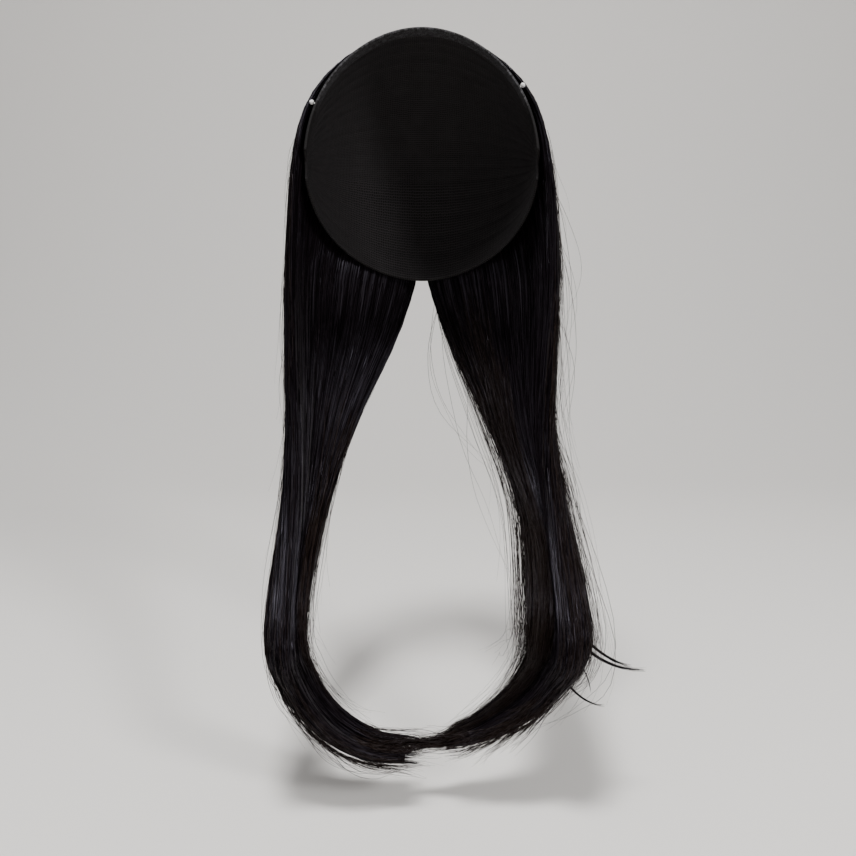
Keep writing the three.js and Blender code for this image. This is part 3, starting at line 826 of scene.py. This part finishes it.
def make_strands(name, sheet, material, relief, rng):
    """Strands that lie on the body, in clumps that draw together at their tips."""
    clumps = STRAND_COUNT // CLUMP_SIZE
    clump = np.repeat(np.arange(clumps), CLUMP_SIZE)
    count = len(clump)
    middle = ((np.arange(clumps) + rng.uniform(*CLUMP_PLACE, clumps)) / clumps)[clump]
    home = middle + rng.normal(0, CLUMP_SPREAD / clumps, count)
    tip = middle + (home - middle) * rng.uniform(*CLUMP_TIP, count)
    faces_head = np.abs(home % 1 - HEAD_SIDE["middle"]) < HEAD_SIDE["half"]
    below_cap = rng.uniform(*BELOW_CAP, count)
    start = np.where(faces_head, below_cap, ROOT_START * np.sqrt(rng.uniform(0, 1, count)))
    reach = rng.uniform(*CLUMP_REACH, clumps)[clump] - rng.uniform(0, CLUMP_RAGGED, count)
    step = np.linspace(0, 1, STRAND_POINTS)[None, :]
    along = strand_along(start, reach, step)
    wave = rng.uniform(0, 2 * math.pi, (count, 1))
    sway = STRAND_WAVE["size"] * np.sin(STRAND_WAVE["pace"] * along + wave) * step
    share = home[:, None] + (tip - home)[:, None] * step**STRAND_GATHER + sway
    depth = rng.uniform(*STRAND_DEPTH, (count, 1)) * MM
    lift = rng.uniform(0, 1, (count, 1)) ** 3 * STRAND_LIFT * np.sin(math.pi * step)
    centres, normals = on_hair(sheet, share, along, relief(share, along) - depth + lift, STRAND_RADIUS)
    return make_tubes(name, centres, strand_radii(step, count, rng), normals, material, rng)


def loose_paths(sheet, rng, hairs):
    """The paths of one set of single hairs."""
    count, clump = hairs["count"], hairs["clump"]
    group = np.arange(count) // clump

    def pick(key, unit_length=1):
        low, high = np.array(hairs[key]) * unit_length
        around = rng.uniform(low, high, group[-1] + 1)[group]
        return (around + (clump > 1) * LOOSE_SPREAD * (high - low) * rng.normal(size=count))[:, None]

    step = np.linspace(0, 1, LOOSE_POINTS)[None, :]
    along = pick("leave") + pick("run") * step
    wave = rng.uniform(0, 2 * math.pi, (count, 7, 1))  # one for the sway and six for the wobble
    share = pick("round") + LOOSE_SWAY["size"] * np.sin(LOOSE_SWAY["pace"] * step + wave[:, 0]) * step
    off = pick("off", MM) * rng.uniform(LOOSE_LEAST, 1, (count, 1))
    free = rng.uniform(0, 1, (count, 1)) < hairs["free"]
    height = off * np.where(free, step**LOOSE_RISE, np.sin(math.pi * step)) - LOOSE_SUNK * (1 - step)
    centres, normals = on_hair(sheet, share, along, height, LOOSE_RADIUS)
    amount = (WOBBLE["least"] + WOBBLE["share"] * np.abs(off)) * step
    return centres + wobble(step, wave[:, 1:]) * amount[..., None], normals


def wobble(step, wave):
    """How far each hair swings along the three axes, in slow and in fast waves."""
    slow = [np.sin(WOBBLE["slow"] * step + wave[:, axis]) for axis in range(3)]
    fast = [np.sin(WOBBLE["fast"] * step + wave[:, 3 + axis]) for axis in range(3)]
    return np.stack(slow, axis=-1) + WOBBLE["fine"] * np.stack(fast, axis=-1)


def thinned(radius, thinning, sizes, count, rng):
    """The radii of single hairs, which thin after a step along them."""
    step = np.linspace(0, 1, LOOSE_POINTS)[None, :]
    kept = np.clip(1 + thinning["after"] - step, thinning["tip"], 1)
    return radius * kept * rng.uniform(*sizes, (count, 1))


def make_loose(name, sheet, material, sets, rng):
    paths = [loose_paths(sheet, rng, hairs) for hairs in sets]
    centres, normals = (np.concatenate(parts) for parts in zip(*paths))
    radii = thinned(LOOSE_RADIUS, LOOSE_THINNING, LOOSE_SIZES, len(centres), rng)
    return make_tubes(name, centres, radii, normals, material, rng)


def flick_paths(sheet, rng, flick):
    """The hairs of one bundle, which spread round a bent line and end at different lengths."""
    hairs = flick["hairs"]
    step = np.linspace(0, 1, LOOSE_POINTS)[None, :]
    t = (step * rng.uniform(*FLICK_LENGTHS, (hairs, 1)))[..., None]
    reach, bent = (np.array((flick[key][0], 0, -flick[key][1])) * HALF_WIDTH for key in ("end", "bend"))
    start = sheet.points(np.array([0.5]), np.array([flick["along"]]))
    angle = rng.uniform(0, 2 * math.pi, (hairs, 1, 1))
    away = rng.uniform(0, 1, (hairs, 1, 1)) ** 0.5 * flick["thick"] / 2 * (1 - FLICK_TAPER * t)
    sideways = np.cos(angle) * away
    spread = np.concatenate((FLICK_BREADTH * sideways, sideways, np.sin(angle) * away), axis=-1)
    stray = np.concatenate((0 * t, 0 * t, t**3 * rng.normal(0, FLICK_STRAY, (hairs, 1, 1))), axis=-1)
    return start + 2 * t * (1 - t) * bent + t**2 * reach + spread + stray


def make_flicks(name, sheet, material, rng):
    centres = np.concatenate([flick_paths(sheet, rng, flick) for flick in FLICKS])
    radii = thinned(FLICK_RADIUS, FLICK_THINNING, FLICK_SIZES, len(centres), rng)
    toward_face = np.broadcast_to((0.0, -1.0, 0.0), centres.shape)
    return make_tubes(name, centres, radii, toward_face, material, rng)


# Cap, band and pins


def cloth_weave(across, around, third):
    """Each point's place on a cloth on the head, with a third value of its own, for both its sides."""
    radius = (HALF_LENGTH + CROWN_RISE) / 2
    across, around, third = np.broadcast_arrays(across, around, third)
    cloth = np.stack((across * DEGREE * radius, around * DEGREE * radius, third), axis=-1).reshape(-1, 3)
    return np.concatenate((cloth, cloth))


def make_cap(material):
    """The net, with the rows of hair sewn to it showing as low ribs on its inner side."""
    across = np.linspace(-EAR_STOP, EAR_STOP, CAP_COLUMNS)[:, None]
    share = np.linspace(0, 1, CAP_ROWS)[None, :]
    start = seam(across)[1]
    around = start + (NAPE_LEAN - start) * share
    direction = ear_direction(across, around)
    turn = 2 * math.pi * (around - RIB_START) / RIB_SPACING
    rib = np.clip(np.cos(turn), 0, 1) ** 2 * RIB_HEIGHT
    walls = wall_mesh(head_point(direction, CAP_WALL), head_point(direction, rib))
    return make_piece("net_cap", *walls, material, "cap", ["cap"], cloth_weave(across, around, 0.0))


def make_band(material):
    """The knitted band, rounded at its edges, with painted shade that dims its flecks towards the ears."""
    across = np.linspace(-EAR_STOP, EAR_STOP, BAND_COLUMNS)[:, None]
    share = np.linspace(0, 1, BAND_ROWS)[None, :]
    end = seam(across)[0]
    around = FRONT_LEAN + (end - FRONT_LEAN) * share
    direction = ear_direction(across, around)
    rounding = np.sqrt(np.clip(1 - (2 * share - 1) ** BAND_SQUARENESS, 0, 1)) + 0 * across
    crown = 1 - BAND_CROWN + BAND_CROWN * rounding
    walls = wall_mesh(head_point(direction, BAND_THICK * crown), head_point(direction, 0))
    # Painted shade: the flecks dim towards the ears, where the overhead light falls less on the band.
    shade_fade = np.clip((KNIT_SHADE_FADE["stop"] - np.abs(across)) / KNIT_SHADE_FADE["run"], KNIT_SHADE_FADE["least"], 1) + 0 * share
    weave = cloth_weave(across, around, shade_fade)
    return make_piece("knit_band", *walls, material, "band", ["edge_band"], weave)


def pin_profile():
    """The radii of a pin and their levels over the head, from the shaft's foot to the top of its head."""
    middle, radius = BAND_THICK + PIN_STAND, PIN_HEAD / 2
    arc = np.linspace(PIN_HEAD_START, 1, PIN_ROWS) * math.pi / 2
    collar_foot, collar_top = (middle - PIN_COLLAR[key] * radius for key in ("foot", "top"))
    shaft = (PIN_SHAFT / 2, PIN_SHAFT / 2, PIN_SHAFT * PIN_COLLAR["flare"])
    radii = np.concatenate((shaft, radius * np.cos(arc)))
    levels = np.concatenate(((PIN_SUNK, collar_foot, collar_top), middle + radius * np.sin(arc)))
    radii[-1] = radius * PIN_TIP
    return radii, levels


def make_pin(name, side, height, material):
    """A pin with a round head on a short collar, turned about the direction that it stands in."""
    across = side * math.acos(height) / DEGREE
    direction = ear_direction(across, (FRONT_LEAN + seam(across)[0]) / 2)
    foot = head_point(direction, 0)
    up = unit(head_point(direction, 1) - foot)
    radii, levels = pin_profile()
    turn = np.linspace(0, 2 * math.pi, PIN_SIDES, endpoint=False)
    one = unit(np.cross(up, (0, 1, 0)))
    rings = np.cos(turn)[:, None] * one + np.sin(turn)[:, None] * np.cross(up, one)
    points = foot + levels[:, None, None] * up + radii[:, None, None] * rings
    corner = np.arange(PIN_SIDES)
    a = np.arange(len(radii) - 1)[:, None] * PIN_SIDES + corner
    b = np.arange(len(radii) - 1)[:, None] * PIN_SIDES + (corner + 1) % PIN_SIDES
    quads = np.stack((a, b, b + PIN_SIDES, a + PIN_SIDES), axis=-1).reshape(-1, 4)
    last = (len(radii) - 1) * PIN_SIDES
    faces = [quads, corner[::-1][None, :], (last + corner)[None, :]]
    return make_piece(name, points.reshape(-1, 3), faces, material, "pin", [name.replace("_look", "")])


# Light, floor and camera


def make_light(name, place, target, size, watts):
    data = bpy.data.lights.new(name, "AREA")
    data.energy = watts
    data.size = size
    light = bpy.data.objects.new(name, data)
    light.location = place
    away = Vector(target) - Vector(place)
    light.rotation_euler = away.to_track_quat("-Z", "Y").to_euler()
    bpy.context.scene.collection.objects.link(light)


def room_run():
    """The backdrop's line from the front of the floor to the top of the wall, as places and levels."""
    run = [(FLOOR_FRONT, FLOOR_LEVEL)]
    for angle in np.linspace(0, math.pi / 2, CORNER_POINTS):
        place = WALL_PLACE - CORNER_RADIUS + CORNER_RADIUS * math.sin(angle)
        run.append((place, FLOOR_LEVEL + CORNER_RADIUS * (1 - math.cos(angle))))
    return [*run, (WALL_PLACE, WALL_TOP)]


def make_room():
    """A pale floor that curves up into a plain backdrop."""
    run = room_run()
    vertices = [(x, y, z) for x in (-ROOM_REACH, ROOM_REACH) for y, z in run]
    count = len(run)
    faces = [(i, i + 1, i + 1 + count, i + count) for i in range(count - 1)]
    mesh = bpy.data.meshes.new("studio")
    mesh.from_pydata(vertices, [], faces)
    mesh.polygons.foreach_set("use_smooth", np.ones(len(faces), bool))
    material, _ = new_material("studio", ROOM_COLOR, ROOM_ROUGHNESS)
    mesh.materials.append(material)
    room = bpy.data.objects.new("studio", mesh)
    bpy.context.scene.collection.objects.link(room)


def make_world():
    world = bpy.data.worlds.new("studio_light")
    world.use_nodes = True
    background = world.node_tree.nodes["Background"]
    background.inputs["Color"].default_value = SKY_COLOR
    background.inputs["Strength"].default_value = SKY_STRENGTH
    bpy.context.scene.world = world


def make_camera():
    data = bpy.data.cameras.new("camera")
    data.lens = CAMERA_LENS
    data.sensor_width = CAMERA_SENSOR
    camera = bpy.data.objects.new("camera", data)
    camera.location = CAMERA_PLACE
    camera.rotation_euler = (CAMERA_TILT * DEGREE, 0, 0)
    bpy.context.scene.collection.objects.link(camera)
    bpy.context.scene.camera = camera


make_camera()
make_world()
make_room()
for light in LIGHTS:
    make_light(**light)

hair = hair_material("hair", HAIR)
# Painted light: the single hairs are lighter and browner, for light shining through them at the edges.
rim_lit_loose_hair = hair_material("rim_lit_loose_hair", RIM_LIT_LOOSE_HAIR)
left = Sheet(-1, LEFT_SIDE_THICK, LEFT_FALL, LEFT_CURL, LEFT_TIPS)
right = Sheet(1, RIGHT_SIDE_THICK, RIGHT_FALL, RIGHT_CURL, RIGHT_TIPS)
random = np.random.default_rng(SEED)
for side, sheet, sets in (("left", left, LEFT_LOOSE), ("right", right, RIGHT_LOOSE)):
    relief = make_relief(random)
    make_body(side + "_body", sheet, hair, [side + "_hair"], relief, random)
    make_strands(side + "_strands", sheet, hair, relief, random)
    make_loose(side + "_flyaways", sheet, rim_lit_loose_hair, sets, random)
make_flicks("right_flicks", right, hair, random)
make_cap(net_material())
make_band(band_material())
pearl = pearl_material()
make_pin("left_pin_look", -1, LEFT_PIN_HEIGHT, pearl)
make_pin("right_pin_look", 1, RIGHT_PIN_HEIGHT, pearl)
